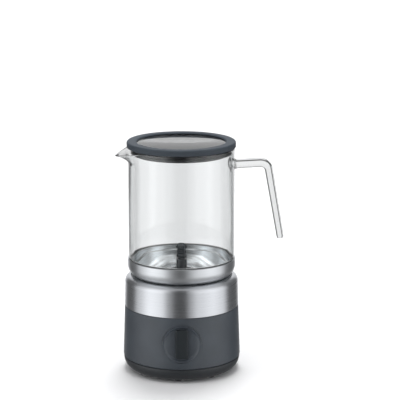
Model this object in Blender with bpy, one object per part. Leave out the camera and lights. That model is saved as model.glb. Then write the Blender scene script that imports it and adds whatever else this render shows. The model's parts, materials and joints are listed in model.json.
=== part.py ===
"""Milk frother with a magnetic whisk: powered base, glass jug, whisk and lid.

The constants are millimetres and the meshes are metres. +Z is up. The origin is on the table, in the
middle of the whole object's footprint, so the round base's axis lies a little to the -X side of it.
The control dial faces -Y, and the jug's handle points to +X, turned a little towards +Y.
The object stands assembled: the jug in the base's well, the whisk on its pin and the lid on the jug.
"""

from math import acos, cos, pi, radians, sin, sqrt

import bmesh
import bpy
from mathutils import Matrix, Vector

MM = 0.001
GAP = 0.3            # left between pieces that touch
ROUND = 32           # steps around a large turned piece
SMALL = 16           # steps around a small turned piece
AXIS_X = -20.7       # the base's axis: places below are counted from it

# Base
FOOT_H, FOOT_R, FOOT_PLACE_R, FOOT_COUNT, FOOT_TURN = 2.5, 4.6, 46.0, 8, -94.4
SEAM_Z = 15.8        # bottom cover to housing
WAIST_Z = 71.0       # housing to steel band
TOP_Z = 103.4        # top of the band and of the well ring
HOUSING_R, WAIST_R, SHOULDER_R = 62.3, 60.7, 59.9
SHOULDER_ROUND = 7.0
WALL = 2.4
SHEET = 0.8          # steel band
WELL_LIP_R, WELL_FOOT_R = 47.9, 44.6
PLATE_Z, PLATE_T = 92.4, 1.3
COVER_UP = 3.0       # drive cover above the plate
COVER_FLATS = 31.0   # drive cover across its flats
SCREW_PLACE_R, SCREW_COUNT, SCREW_TURN = 34.0, 3, 60.0
SCREW_BORE, SCREW_HEAD_R, SCREW_R = 1.9, 3.0, 1.5
POST_TOP = 25.2      # top of the posts that the cover screws bite into

# Sensor pin
SENSOR_AT = (24.1, 14.5)
PIN_R, PIN_TOP_Z = 3.9, PLATE_Z + 5.2
SENSOR_FLOOR, HOLDER_R, HOLDER_TOP = PLATE_Z - 8.2, 5.2, PLATE_Z + 2.0

# Dial: depths are distances in front of the base's axis
DIAL_Z, DIAL_R, DIAL_FRONT = 43.3, 20.0, 61.7
DIAL_BACK, CUP_BACK, CUP_RIM, CUP_WALL = 50.0, 44.2, 52.5, 1.4     # depths in front of the axis; wall
GRIP_W, GRIP_H, GRIP_ROUND = 12.6, 31.2, 2.6
GRIP_SEAT = 56.7     # depth of the slot floor that holds the grip
SCOOP_X, SCOOP_DEPTH, SCOOP_R, SCOOP_HALF = 8.4, 71.7, 14.5, 13.5     # finger scoops beside the grip
SPINDLE_R = 3.0
GLAND_Z = 27.2

# Jug: heights are above the jug's lowest edge
JUG_Z = PLATE_Z + GAP
JUG_TURN = 14.0      # handle direction, degrees from +X towards +Y
GLASS_R, GLASS_T = 55.9, 2.2
RIM_H = 147.8
PAN_TOP, PAN_R, PAN_STEP_H, PAN_STEP_R = 29.3, 56.9, 10.7, 46.9
PAN_FOOT_R, PAN_FOOT_WIDE, PAN_FOOT_H = 40.3, 46.1, 8.0
PAN_FLOOR = 13.0
SPOUT_REACH, SPOUT_DROP, SPOUT_START = 70.5, 5.3, 16.0
BAR_H = RIM_H - 21.1
BAR_R, LEG_R, END_R = 5.0, 4.3, 3.8
LEG_TOP, LEG_END = (97.7, RIM_H - 39.0), (109.6, RIM_H - 104.8)
BEND_R, BEND_STEPS = 9.5, 6

# Whisk: heights are above the centre of its coil ring
COIL_H = PAN_FLOOR + 4.3
COIL_RING_R, COIL_R = 17.4, 2.9
HUB_R, SLEEVE_R, BORE_R = 14.2, 5.6, 4.5
STEM_W, STEM_T, STEM_TURN = 8.4, 5.8, -30.0
MAGNET_R, MAGNET_T = 2.4, 2.8

# Lid: heights are above the underside of its ring
LID_Z = JUG_Z + RIM_H + GAP
LID_R, LID_T, WINDOW_R = 57.2, 6.2, 46.6
COLLAR_R, COLLAR_LOW, SEAL_R = 49.3, -8.0, 53.1
PANE_LOW, PANE_T = 3.1, 1.5

FINISHES = {
    # name: (colour, roughness, metallic, alpha)
    "housing_plastic": ((0.075, 0.082, 0.095), 0.45, 0.0, 1.0),
    "cover_plastic": ((0.035, 0.040, 0.045), 0.50, 0.0, 1.0),
    "grip_plastic": ((0.018, 0.022, 0.025), 0.35, 0.0, 1.0),
    "inner_plastic": ((0.60, 0.60, 0.58), 0.50, 0.0, 1.0),
    "steel": ((0.62, 0.62, 0.64), 0.28, 1.0, 1.0),
    "polished_steel": ((0.75, 0.75, 0.76), 0.12, 1.0, 1.0),
    "glass": ((0.95, 0.97, 0.98), 0.02, 0.0, 0.3),
    "silicone": ((0.30, 0.32, 0.33), 0.45, 0.0, 1.0),
    "rubber": ((0.02, 0.02, 0.02), 0.80, 0.0, 1.0),
    "copper": ((0.80, 0.40, 0.20), 0.35, 1.0, 1.0),
    "magnet": ((0.45, 0.45, 0.46), 0.30, 1.0, 1.0),
    "board": ((0.02, 0.20, 0.08), 0.50, 0.0, 1.0),
    "zinc": ((0.50, 0.50, 0.52), 0.35, 1.0, 1.0),
}


# ---------------------------------------------------------------- tools

def clear_scene():
    for obj in list(bpy.data.objects):
        bpy.data.objects.remove(obj)


def finish_of(name):
    """The shared Principled material of that name, made when it is first asked for."""
    if name in bpy.data.materials:
        return bpy.data.materials[name]
    colour, roughness, metallic, alpha = FINISHES[name]
    mat = bpy.data.materials.new(name)
    mat.use_nodes = True
    shader = mat.node_tree.nodes["Principled BSDF"]
    shader.inputs["Base Color"].default_value = (*colour, 1.0)
    shader.inputs["Roughness"].default_value = roughness
    shader.inputs["Metallic"].default_value = metallic
    shader.inputs["Alpha"].default_value = alpha
    return mat


def add_object(name, bm, finish, at=(0, 0, 0), facing_front=False):
    """Turns a bmesh in millimetres into an object at that place, counted from the base's axis.

    Its local z points towards -Y if facing_front.
    """
    bmesh.ops.recalc_face_normals(bm, faces=bm.faces)
    bmesh.ops.scale(bm, vec=(MM, MM, MM), verts=bm.verts)
    mesh = bpy.data.meshes.new(name)
    bm.to_mesh(mesh)
    bm.free()
    mesh.shade_smooth()
    mesh.set_sharp_from_angle(angle=radians(32))
    mesh.materials.append(finish_of(finish))
    obj = bpy.data.objects.new(name, mesh)
    obj.location = Vector((AXIS_X + at[0], at[1], at[2])) * MM
    if facing_front:
        obj.rotation_euler = (pi / 2, 0, 0)
    bpy.context.scene.collection.objects.link(obj)
    return obj


def arc(centre, radius, start, end, steps, radius_z=None):
    """Points of an arc in degrees, from start to end, both included."""
    rz = radius if radius_z is None else radius_z
    turns = [radians(start + (end - start) * i / steps) for i in range(steps + 1)]
    return [(centre[0] + radius * cos(t), centre[1] + rz * sin(t)) for t in turns]


def ring_points(bm, radius, z, steps, centre=(0, 0)):
    """One ring of vertices, or one vertex where the radius is zero."""
    if radius < 1e-6:
        return [bm.verts.new((centre[0], centre[1], z))]
    turns = [2 * pi * i / steps for i in range(steps)]
    return [bm.verts.new((centre[0] + radius * cos(t), centre[1] + radius * sin(t), z)) for t in turns]


def bridge(bm, low, high):
    """Faces between two rings of equal count, or between a ring and a single vertex."""
    count = max(len(low), len(high))
    for i in range(count):
        j = (i + 1) % count
        if len(low) == 1 and len(high) > 1:
            bm.faces.new((low[0], high[j], high[i]))
        elif len(high) == 1 and len(low) > 1:
            bm.faces.new((low[i], low[j], high[0]))
        elif len(low) > 1:
            bm.faces.new((low[i], low[j], high[j], high[i]))


def turned_mesh(outline, steps, centre=(0, 0)):
    """A closed outline of (radius, height) points turned about z. It may start and end on the axis."""
    bm = bmesh.new()
    rings = [ring_points(bm, r, z, steps, centre) for r, z in outline]
    for low, high in zip(rings, rings[1:] + rings[:1]):
        bridge(bm, low, high)
    return bm


def turned(name, outline, finish, steps=ROUND, **place):
    return add_object(name, turned_mesh(outline, steps), finish, **place)


def disc(name, radius, low, high, finish, steps=SMALL, **place):
    return turned(name, [(0, low), (radius, low), (radius, high), (0, high)], finish, steps, **place)


def sleeve(name, inner, outer, low, high, finish, steps=SMALL, **place):
    outline = [(inner, low), (outer, low), (outer, high), (inner, high)]
    return turned(name, outline, finish, steps, **place)


def polygon(sides, across_flats, turn=0.0):
    radius = across_flats / 2 / cos(pi / sides)
    turns = [radians(turn) + 2 * pi * (i + 0.5) / sides for i in range(sides)]
    return [(radius * cos(t), radius * sin(t)) for t in turns]


def rectangle(width, height, rounding=0.0, steps=3):
    """The corners of a rectangle about the origin, rounded if asked, turning anticlockwise."""
    w, h = width / 2 - rounding, height / 2 - rounding
    corners = [(w, h, 0), (-w, h, 90), (-w, -h, 180), (w, -h, 270)]
    if rounding == 0:
        return [(x, y) for x, y, _ in corners]
    return [p for x, y, a in corners for p in arc((x, y), rounding, a, a + 90, steps)]


def stacked_mesh(levels):
    """A solid through closed loops of equal count, given as (loop of x y points, height)."""
    bm = bmesh.new()
    rings = [[bm.verts.new((x, y, z)) for x, y in loop] for loop, z in levels]
    for low, high in zip(rings, rings[1:]):
        bridge(bm, low, high)
    bm.faces.new(rings[0])
    bm.faces.new(rings[-1])
    return bm


def prism(name, loop, low, high, finish, **place):
    return add_object(name, stacked_mesh([(loop, low), (loop, high)]), finish, **place)


def block(name, size, centre, low, finish):
    """A box on the level low, with its middle at centre."""
    loop = [(x + centre[0], y + centre[1]) for x, y in rectangle(size[0], size[1])]
    return prism(name, loop, low, low + size[2], finish)


def combine(obj, other, operation):
    """Joins or cuts obj with a helper solid, which isn't a piece itself."""
    modifier = obj.modifiers.new(other.name, "BOOLEAN")
    modifier.operation = operation
    modifier.solver = "EXACT"
    modifier.object = other
    other.hide_render = True
    other.display_type = "WIRE"


def cut(obj, other):
    combine(obj, other, "DIFFERENCE")


def join(obj, other):
    combine(obj, other, "UNION")


def turn_mesh(bm, degrees, axis):
    bmesh.ops.rotate(bm, verts=bm.verts, cent=(0, 0, 0), matrix=Matrix.Rotation(radians(degrees), 3, axis))


def around(radius, degrees):
    return (radius * cos(radians(degrees)), radius * sin(radians(degrees)), 0)


# ---------------------------------------------------------------- base

def make_bottom_cover():
    bottom, lip_r = FOOT_H, HOUSING_R - WALL - 0.7
    side_r, flat_r, round_h = HOUSING_R - 0.4, 52.0, 12.5
    outline = [(0, bottom)]
    outline += arc((flat_r, bottom + round_h), side_r - flat_r, -90, 0, 4, round_h)
    outline += [(side_r, SEAM_Z - GAP), (lip_r, SEAM_Z - GAP), (lip_r, SEAM_Z + 3.4)]
    outline += [(lip_r - 1.6, SEAM_Z + 3.4)]
    outline += arc((flat_r - 1.5, bottom + round_h + 1.5), lip_r - 0.1 - flat_r, 0, -90, 2, round_h - 1)
    outline += [(0, bottom + 2.5)]
    cover = turned("bottom_cover", outline, "cover_plastic")
    for i in range(SCREW_COUNT):
        at = around(SCREW_PLACE_R, SCREW_TURN + 360 * i / SCREW_COUNT)
        join(cover, disc(f"screw_tower_{i}", 5.0, bottom + 1, SEAM_Z - 0.6, "cover_plastic", at=at))
        cut(cover, disc(f"screw_well_{i}", 3.5, bottom - 1, bottom + 8, "cover_plastic", at=at))
        cut(cover, disc(f"screw_way_{i}", SCREW_BORE, bottom + 7, SEAM_Z + 1, "cover_plastic", 8, at=at))
        low, neck, tip = bottom + 6.2, bottom + 7.7, POST_TOP - 3
        outline = [(0, low), (SCREW_HEAD_R, low), (SCREW_HEAD_R, neck)]
        outline += [(SCREW_R, neck), (SCREW_R, tip), (0, tip + 1)]
        turned(f"cover_screw_{i + 1}", outline, "zinc", 8, at=at)


def make_feet():
    for i in range(FOOT_COUNT):
        at = around(FOOT_PLACE_R, FOOT_TURN + 360 * i / FOOT_COUNT)
        outline = [(0, 0), (FOOT_R - 0.4, 0), (FOOT_R, FOOT_H - GAP), (0, FOOT_H - GAP)]
        turned(f"foot_{i + 1}", outline, "rubber", 12, at=at)


def make_base_shell():
    inner = HOUSING_R - WALL
    spigot_r = SHOULDER_R - SHEET - 0.2
    outline = [(HOUSING_R - 0.3, SEAM_Z), (HOUSING_R, SEAM_Z + 1.6), (WAIST_R, WAIST_Z)]
    outline += [(spigot_r, WAIST_Z), (spigot_r, WAIST_Z + 6), (spigot_r - 1.8, WAIST_Z + 6)]
    outline += [(WAIST_R - WALL, WAIST_Z - 4), (inner, SEAM_Z + 3), (inner, SEAM_Z)]
    shell = turned("base_shell", outline, "housing_plastic")
    for i in range(SCREW_COUNT):
        turn = SCREW_TURN + 360 * i / SCREW_COUNT
        low = SEAM_Z + 0.4
        post = [(SCREW_BORE, low), (4.2, low), (4.2, POST_TOP), (0, POST_TOP)]
        post += [(0, POST_TOP - 1.5), (SCREW_BORE, POST_TOP - 1.5)]
        start = SCREW_PLACE_R + 3
        reach = inner + 1.2 - start
        loop = [(x + start + reach / 2, y) for x, y in rectangle(reach, WALL)]
        rib = stacked_mesh([(loop, SEAM_Z + 4), (loop, POST_TOP - 0.7)])
        turn_mesh(rib, turn, "Z")
        join(shell, turned(f"post_{i}", post, "housing_plastic", 12, at=around(SCREW_PLACE_R, turn)))
        join(shell, add_object(f"rib_{i}", rib, "housing_plastic"))
    cut(shell, disc("dial_window", DIAL_R + 0.5, 48, 70, "housing_plastic", 32,
                    at=(0, 0, DIAL_Z), facing_front=True))
    cut(shell, disc("gland_window", 6.0, -70, -50, "housing_plastic", at=(0, 0, GLAND_Z), facing_front=True))


def make_steel_band():
    low = WAIST_Z + GAP
    centre = (SHOULDER_R - SHOULDER_ROUND, TOP_Z - SHOULDER_ROUND)
    outline = [(WAIST_R - 0.1, low)] + arc(centre, SHOULDER_ROUND, 0, 82, 4)
    outline += arc(centre, SHOULDER_ROUND - SHEET, 82, 0, 3) + [(WAIST_R - 0.1 - SHEET, low)]
    turned("steel_band", outline, "steel")


def make_well():
    """The dark ring inside the band, whose cone guides the jug onto the seat plate."""
    ledge = PLATE_Z - PLATE_T - 2 * GAP - 1.1
    outline = [(53.4, TOP_Z - 2.6), (53.4, TOP_Z - 0.4), (52.7, TOP_Z), (WELL_LIP_R + 1.6, TOP_Z)]
    outline += arc((WELL_LIP_R + 1.6, TOP_Z - 1.5), 1.5, 90, 180, 3)[1:]
    outline += [(WELL_FOOT_R, PLATE_Z + 0.3), (WELL_FOOT_R, ledge), (WELL_FOOT_R - 2.1, ledge)]
    outline += [(WELL_FOOT_R - 2.1, ledge - 1.4), (WELL_FOOT_R + 2, ledge - 1.4), (50.2, TOP_Z - 2.6)]
    turned("seat_ring", outline, "housing_plastic")
    sleeve("plate_gasket", WELL_FOOT_R - 1.9, WELL_FOOT_R - GAP, ledge + GAP, ledge + GAP + 1.1,
           "silicone", ROUND)
    plate = sleeve("seat_plate", 13.3, WELL_FOOT_R - 0.5, PLATE_Z - PLATE_T, PLATE_Z, "steel", ROUND)
    cut(plate, disc("sensor_window", HOLDER_R + GAP, PLATE_Z - 4, PLATE_Z + 2, "steel", at=(*SENSOR_AT, 0)))


def make_drive_cover():
    """An eight-sided cap over the drive magnets, whose round skirt reaches down through the plate."""
    top, chamfer = PLATE_Z + COVER_UP, 1.4
    wide, narrow = polygon(8, COVER_FLATS), polygon(8, COVER_FLATS - 2 * chamfer)
    cap = stacked_mesh([(wide, PLATE_Z + GAP), (wide, top - chamfer), (narrow, top)])
    cap = add_object("drive_cover", cap, "steel")
    join(cap, disc("cover_skirt", 12.9, PLATE_Z - 6.2, PLATE_Z + 1, "steel", 24))
    cut(cap, disc("cover_hollow", 11.7, PLATE_Z - 8, top - 1.3, "steel", 24))


def make_induction_coil():
    low = PLATE_Z - PLATE_T - 5.4
    carrier = sleeve("coil_carrier", 14.5, 41.4, low, low + 1.8, "inner_plastic", ROUND)
    cut(carrier, disc("carrier_window", HOLDER_R + 0.4, low - 2, low + 4, "inner_plastic",
                      at=(*SENSOR_AT, 0)))
    for name, inner, outer in (("coil_inner", 15.0, 22.4), ("coil_outer", 33.8, 41.2)):
        sleeve(name, inner, outer, low + 2.1, low + 4.9, "copper", ROUND)


def make_drive():
    """Motor on its bracket, with the magnet rotor under the drive cover."""
    bracket = PLATE_Z - 12.8
    sleeve("motor_bracket", 6.0, 46.0, bracket, bracket + 1.8, "zinc", ROUND)
    outline = [(0, bracket - 28), (14, bracket - 28), (14, bracket - 2), (12.5, bracket - GAP)]
    outline += [(1.6, bracket - GAP), (1.6, bracket - 6), (0, bracket - 6)]
    turned("drive_motor", outline, "zinc", 24)
    disc("motor_shaft", 1.2, bracket - 5, PLATE_Z - 2.6, "polished_steel", 12)
    sleeve("drive_rotor", 1.5, 11.0, PLATE_Z - 5.7, PLATE_Z - 2.3, "inner_plastic", 24)
    for i, x in enumerate((-6.6, 6.6)):
        disc(f"drive_magnet_{i + 1}", 3.2, PLATE_Z - 2.0, PLATE_Z + 1.2, "magnet", 16, at=(x, 0, 0))


def make_sensor():
    at, floor = (*SENSOR_AT, 0), SENSOR_FLOOR
    outline = [(0, floor), (HOLDER_R, floor), (HOLDER_R, HOLDER_TOP - 0.4), (HOLDER_R - 0.3, HOLDER_TOP)]
    outline += [(PIN_R + GAP, HOLDER_TOP), (PIN_R + GAP, floor + 1.2), (0, floor + 1.2)]
    turned("sensor_holder", outline, "grip_plastic", at=at, steps=SMALL)
    sleeve("sensor_spring", 2.4, 3.4, floor + 1.5, floor + 4.6, "polished_steel", at=at)
    dome = arc((0, PIN_TOP_Z - 1.3), PIN_R, 0, 90, 4, 1.3)
    turned("sensor_pin", [(0, floor + 4.9), (PIN_R, floor + 4.9)] + dome, "polished_steel", SMALL, at=at)


def make_dial():
    """The dial turns on its spindle in a cup behind the housing's round window."""
    place = {"at": (0, 0, DIAL_Z), "facing_front": True}
    outline = [(0, GRIP_SEAT - 3.5), (4.6, GRIP_SEAT - 3.5), (DIAL_R - 1.8, GRIP_SEAT - 3.5)]
    outline += [(DIAL_R - 1.8, DIAL_BACK), (DIAL_R, DIAL_BACK), (DIAL_R, DIAL_FRONT - 0.7)]
    outline += [(DIAL_R - 0.7, DIAL_FRONT), (0, DIAL_FRONT)]
    dial = turned("dial", outline, "housing_plastic", 36, **place)
    slot = rectangle(GRIP_W + 0.6, GRIP_H + 0.6, GRIP_ROUND)
    cut(dial, prism("grip_slot", slot, GRIP_SEAT, 70, "housing_plastic", **place))
    for side in (-1, 1):
        edge = arc((SCOOP_X, SCOOP_DEPTH), SCOOP_R, 262, 313, 5)
        loop = [(side * x, y) for x, y in edge] + [(side * DIAL_R, 72), (side * edge[0][0], 72)]
        bm = stacked_mesh([(loop, -SCOOP_HALF), (loop, SCOOP_HALF)])
        turn_mesh(bm, 90, "X")
        cut(dial, add_object(f"finger_scoop_{side + 1}", bm, "housing_plastic", **place))
    cut(dial, disc("spindle_socket", SPINDLE_R + GAP, 45, GRIP_SEAT - 1, "housing_plastic", **place))
    prism("dial_grip", rectangle(GRIP_W, GRIP_H, GRIP_ROUND), GRIP_SEAT + GAP, DIAL_FRONT + 0.5,
          "grip_plastic", **place)
    disc("dial_spindle", SPINDLE_R, 38.5, GRIP_SEAT - 1.4, "zinc", 16, **place)
    inside = DIAL_R + 0.7
    cup = [(3.5, CUP_BACK), (inside + CUP_WALL, CUP_BACK), (inside + CUP_WALL, CUP_RIM), (inside, CUP_RIM)]
    cup += [(inside, CUP_BACK + CUP_WALL), (3.5, CUP_BACK + CUP_WALL)]
    turned("dial_cup", cup, "inner_plastic", 32, **place)
    encoder = prism("dial_encoder", rectangle(14, 14), 37.0, 43.9, "inner_plastic", **place)
    cut(encoder, disc("encoder_bore", SPINDLE_R + GAP, 38.2, 46, "inner_plastic", **place))
    prism("dial_board", rectangle(30, 24), 35.1, 36.7, "board", **place)


def make_electronics():
    block("control_board", (74, 46, 1.6), (0, 4), 33.0, "board")
    block("transformer", (22, 18, 14), (-25, 8), 34.9, "zinc")
    disc("capacitor", 7.5, 34.9, 48.5, "grip_plastic", at=(26, 10, 0))
    outline = [(3.2, -61.6), (5.0, -61.6), (5.6, -60.6), (5.6, -50.5), (3.2, -50.5)]
    turned("cord_gland", outline, "rubber", SMALL, at=(0, 0, GLAND_Z), facing_front=True)


# ---------------------------------------------------------------- jug

def make_pan():
    """The stepped steel pan that closes the glass, with the induction disc under its floor."""
    centre, bulge_h = PAN_FOOT_R - 0.5, 11.5
    outline = [(PAN_FOOT_R - 2.2, 0), (PAN_FOOT_R, 0)]
    outline += arc((centre, PAN_FOOT_H), PAN_FOOT_WIDE - centre, -70, 0, 3, PAN_FOOT_H)
    outline += [(PAN_STEP_R, PAN_STEP_H - 0.3)]
    centre = PAN_STEP_R + 0.2
    outline += arc((centre, PAN_STEP_H + bulge_h), PAN_R - centre, -90, 0, 4, bulge_h)
    outline += [(PAN_R, PAN_TOP), (52.3, PAN_TOP), (52.3, PAN_TOP - 5), (51.0, PAN_TOP - 5.6)]
    outline += arc((44.5, PAN_FLOOR + 6.5), 6.5, 0, -90, 3)
    outline += [(0, PAN_FLOOR), (0, PAN_FLOOR - 2.8), (44.0, PAN_FLOOR - 2.8)]
    turned("steel_pan", outline, "steel", at=(0, 0, JUG_Z))
    disc("induction_disc", 37.0, 5.5, PAN_FLOOR - 3.1, "zinc", ROUND, at=(0, 0, JUG_Z))
    low, top = PAN_FLOOR + GAP, PAN_FLOOR + 9.3
    pin = [(0, low), (4.6, low), (4.6, low + 0.9), (2.8, low + 0.9)] + arc((0, top - 1), 2.8, 0, 90, 3, 1)
    turned("pivot_pin", pin, "polished_steel", at=(0, 0, JUG_Z), steps=SMALL)
    sleeve("glass_seal", 52.6, GLASS_R - 0.3, PAN_TOP + GAP, PAN_TOP + 0.9, "silicone", ROUND,
           at=(0, 0, JUG_Z))


def spout_shape(turn):
    """Outward reach of the rim and its share of the spout's drop, at an angle from the spout."""
    soft = radians(5.0)
    half = acos(GLASS_R / SPOUT_REACH) + soft
    off = sqrt(turn * turn + soft * soft)
    if off >= half:
        return 0.0, 0.0
    reach = GLASS_R / cos(half - off) - GLASS_R
    return reach, (1 - (off - soft) / (half - soft)) ** 1.5


def make_glass():
    low = PAN_TOP + 0.9 + GAP
    top = RIM_H - GLASS_T / 2
    inner = GLASS_R - GLASS_T
    heights = [low, 90.0] + [top - SPOUT_START * (1 - k / 5) for k in range(6)]
    lip = arc((GLASS_R - GLASS_T / 2, top), GLASS_T / 2, 45, 135, 2)
    rows = [(GLASS_R, h) for h in heights] + lip + [(inner, h) for h in reversed(heights)]
    bm = bmesh.new()
    rings = []
    for radius, height in rows:
        pull = max(0.0, min(1.0, (height - top + SPOUT_START) / SPOUT_START))
        pull = pull ** 1.7
        ring = []
        for i in range(ROUND):
            turn = 2 * pi * i / ROUND
            reach, drop = spout_shape(min(turn, 2 * pi - turn))
            a = turn + radians(180 + JUG_TURN)
            r = radius + reach * pull
            ring.append(bm.verts.new((r * cos(a), r * sin(a), height - SPOUT_DROP * drop * pull)))
        rings.append(ring)
    for a, b in zip(rings, rings[1:] + rings[:1]):
        bridge(bm, a, b)
    add_object("jug_glass", bm, "glass", at=(0, 0, JUG_Z))


def handle_path():
    """Centre line of the handle as (distance from the axis, height, radius), wall to free end."""
    (x1, z1), (x2, z2) = LEG_TOP, LEG_END
    lean = (x2 - x1) / (z1 - z2)
    corner = x1 - (BAR_H - z1) * lean
    length = sqrt(1 + lean * lean)
    down = Vector((lean / length, -1 / length))
    half_turn = acos(down.x) / 2
    back = BEND_R * sin(half_turn) / cos(half_turn)
    centre = (corner - back, BAR_H - BEND_R)
    wall = GLASS_R + 0.5
    path = [(wall, BAR_H, 6.8), (wall + 1.6, BAR_H, 5.9), (wall + 4, BAR_H, 5.2), (wall + 7, BAR_H, BAR_R)]
    for i in range(BEND_STEPS + 1):
        a = pi / 2 - 2 * half_turn * i / BEND_STEPS
        radius = BAR_R + (LEG_R - BAR_R) * i / BEND_STEPS
        path.append((centre[0] + BEND_R * cos(a), centre[1] + BEND_R * sin(a), radius))
    start, end = Vector(path[-1][:2]), Vector(LEG_END)
    for share, radius in ((0.5, (LEG_R + END_R) / 2), (0.985, END_R), (1.0, END_R - 1.0)):
        path.append((*start.lerp(end, share), radius))
    return path


def make_handle(sides=12):
    path = handle_path()
    bm = bmesh.new()
    rings = []
    for i, (x, z, radius) in enumerate(path):
        before, after = path[max(i - 1, 0)], path[min(i + 1, len(path) - 1)]
        along = Vector((after[0] - before[0], 0, after[1] - before[1])).normalized()
        side = Vector((0, 1, 0))
        across = along.cross(side)
        ring = []
        for k in range(sides):
            t = 2 * pi * k / sides
            ring.append(bm.verts.new(Vector((x, 0, z)) + radius * (cos(t) * side + sin(t) * across)))
        rings.append(ring)
    for low, high in zip(rings, rings[1:]):
        bridge(bm, low, high)
    bm.faces.new(rings[0])
    bm.faces.new(rings[-1])
    turn_mesh(bm, JUG_TURN, "Z")
    add_object("jug_handle", bm, "glass", at=(0, 0, JUG_Z))


# ---------------------------------------------------------------- whisk

def make_whisk():
    at = (0, 0, JUG_Z + COIL_H)
    web = -2.4
    sleeve("whisk_bush", 3.1, 4.1, PAN_FLOOR + 1.5 - COIL_H, 3.7, "inner_plastic", at=at)
    hub = [(BORE_R, web), (HUB_R, web), (HUB_R, 2.6), (12.3, 2.6), (12.3, web + 1.2), (SLEEVE_R, web + 1.2)]
    hub += [(SLEEVE_R, 10.7), (0, 10.7), (0, 5.6), (BORE_R, 5.6)]
    turned("whisk_hub", hub, "grip_plastic", 24, at=at)
    bm = turned_mesh([(COIL_RING_R + r, z) for r, z in arc((0, 0), COIL_R, 0, 315, 7)], ROUND)
    add_object("whisk_coil", bm, "polished_steel", at=at)
    for i, x in enumerate((-9.0, 9.0)):
        low = web + 1.2 + GAP
        disc(f"whisk_magnet_{i + 1}", MAGNET_R, low, low + MAGNET_T, "magnet", 16,
             at=(x, 0, JUG_Z + COIL_H))
    neck, ledge = rectangle(STEM_W, STEM_T - 2.4), rectangle(STEM_W, STEM_T + 0.8)
    grip = rectangle(STEM_W, STEM_T)
    levels = [(neck, 11.0), (neck, 12.6), (ledge, 12.6), (ledge, 14.6), (grip, 15.2), (grip, 24.6)]
    levels += [(rectangle(STEM_W - 1.2, STEM_T - 0.6), 26.2), (rectangle(STEM_W - 3.6, STEM_T - 1.8), 27.0)]
    bm = stacked_mesh(levels)
    turn_mesh(bm, STEM_TURN, "Z")
    add_object("whisk_stem", bm, "grip_plastic", at=at)


# ---------------------------------------------------------------- lid

def make_lid():
    at = (0, 0, LID_Z)
    pane_top, edge_r = PANE_LOW + PANE_T, 1.6
    ring = [(49.7, 0), (LID_R - 0.3, 0), (LID_R, 0.9), (LID_R, LID_T - edge_r)]
    ring += arc((LID_R - edge_r, LID_T - edge_r), edge_r, 0, 90, 3)[1:]
    ring += [(WINDOW_R + 1.2, LID_T), (WINDOW_R + 0.4, LID_T - 0.5), (WINDOW_R, pane_top + GAP)]
    ring += [(49.7, pane_top + GAP)]
    turned("lid_ring", ring, "housing_plastic", at=at)
    disc("lid_glass", 49.3, PANE_LOW, pane_top, "glass", ROUND, at=at)
    groove_low, groove_top = COLLAR_LOW + 1.7, COLLAR_LOW + 3.7
    collar = [(43.5, COLLAR_LOW), (COLLAR_R - 0.4, COLLAR_LOW), (COLLAR_R, COLLAR_LOW + 0.4)]
    collar += [(COLLAR_R, groove_low), (47.3, groove_low), (47.3, groove_top), (COLLAR_R, groove_top)]
    collar += [(COLLAR_R, PANE_LOW - GAP), (43.5, PANE_LOW - GAP)]
    turned("lid_collar", collar, "cover_plastic", at=at)
    seal = [(47.6, groove_low + GAP), (50.4, groove_low + GAP), (SEAL_R - 0.5, groove_low - 0.2)]
    seal += [(SEAL_R, groove_low + 0.4), (50.6, groove_top - GAP), (47.6, groove_top - GAP)]
    turned("lid_seal", seal, "silicone", at=at)


def main():
    clear_scene()
    for make in (make_bottom_cover, make_feet, make_base_shell, make_steel_band, make_well,
                 make_drive_cover, make_induction_coil, make_drive, make_sensor, make_dial,
                 make_electronics, make_pan, make_glass, make_handle, make_whisk, make_lid):
        make()


main()
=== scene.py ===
"""Looks of the milk frother: fine meshes, materials, floor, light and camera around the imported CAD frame.

Outlines and sizes are millimetres, in the frame's own axes; meshes are metres. Each fine piece replaces its
CAD node and rides on the same body. The camera frames the object with its lid, whisk and jug lifted apart.
"""
import json
from math import acos, cos, hypot, pi, radians, sin, sqrt

import bmesh
import bpy
from mathutils import Matrix, Vector


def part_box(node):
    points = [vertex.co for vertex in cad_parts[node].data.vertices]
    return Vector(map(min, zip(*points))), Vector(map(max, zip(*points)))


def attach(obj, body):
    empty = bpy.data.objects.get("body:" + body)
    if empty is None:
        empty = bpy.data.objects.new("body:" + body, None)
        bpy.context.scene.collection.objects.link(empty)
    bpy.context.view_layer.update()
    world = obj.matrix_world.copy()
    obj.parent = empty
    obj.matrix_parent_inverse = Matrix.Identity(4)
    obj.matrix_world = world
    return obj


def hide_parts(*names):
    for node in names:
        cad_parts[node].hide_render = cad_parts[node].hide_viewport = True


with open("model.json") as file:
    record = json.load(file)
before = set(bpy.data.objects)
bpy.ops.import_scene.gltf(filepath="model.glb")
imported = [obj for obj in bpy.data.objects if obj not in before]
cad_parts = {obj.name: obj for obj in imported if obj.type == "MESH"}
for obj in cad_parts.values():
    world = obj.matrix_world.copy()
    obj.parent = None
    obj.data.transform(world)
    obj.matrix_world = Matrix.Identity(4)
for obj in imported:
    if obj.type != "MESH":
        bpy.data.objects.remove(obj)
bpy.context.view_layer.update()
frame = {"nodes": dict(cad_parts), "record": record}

MM = 0.001
STEPS = 160          # around a large turned piece
FEW = 48             # around a small one
BODY_OF = {node: body for body, nodes in frame["record"]["behaviour"]["bodies"].items() for node in nodes}
SLOT_OF = {part["node"]: part["material_slot"] for part in frame["record"]["subparts"]}

# The round base's vertical axis stands at this x: other places are counted from it
AXIS_X = sum(corner.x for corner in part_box("steel_band")) / 2 / MM


def extent(node):
    """Radius about the vertical axis through the node, lowest and highest height, in millimetres."""
    low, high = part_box(node)
    return (high.x - low.x) / 2 / MM, low.z / MM, high.z / MM


def middle(node):
    """The middle of the node's box, counted from the base's axis."""
    low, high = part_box(node)
    return (low + high) / 2 / MM - Vector((AXIS_X, 0, 0))


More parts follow.
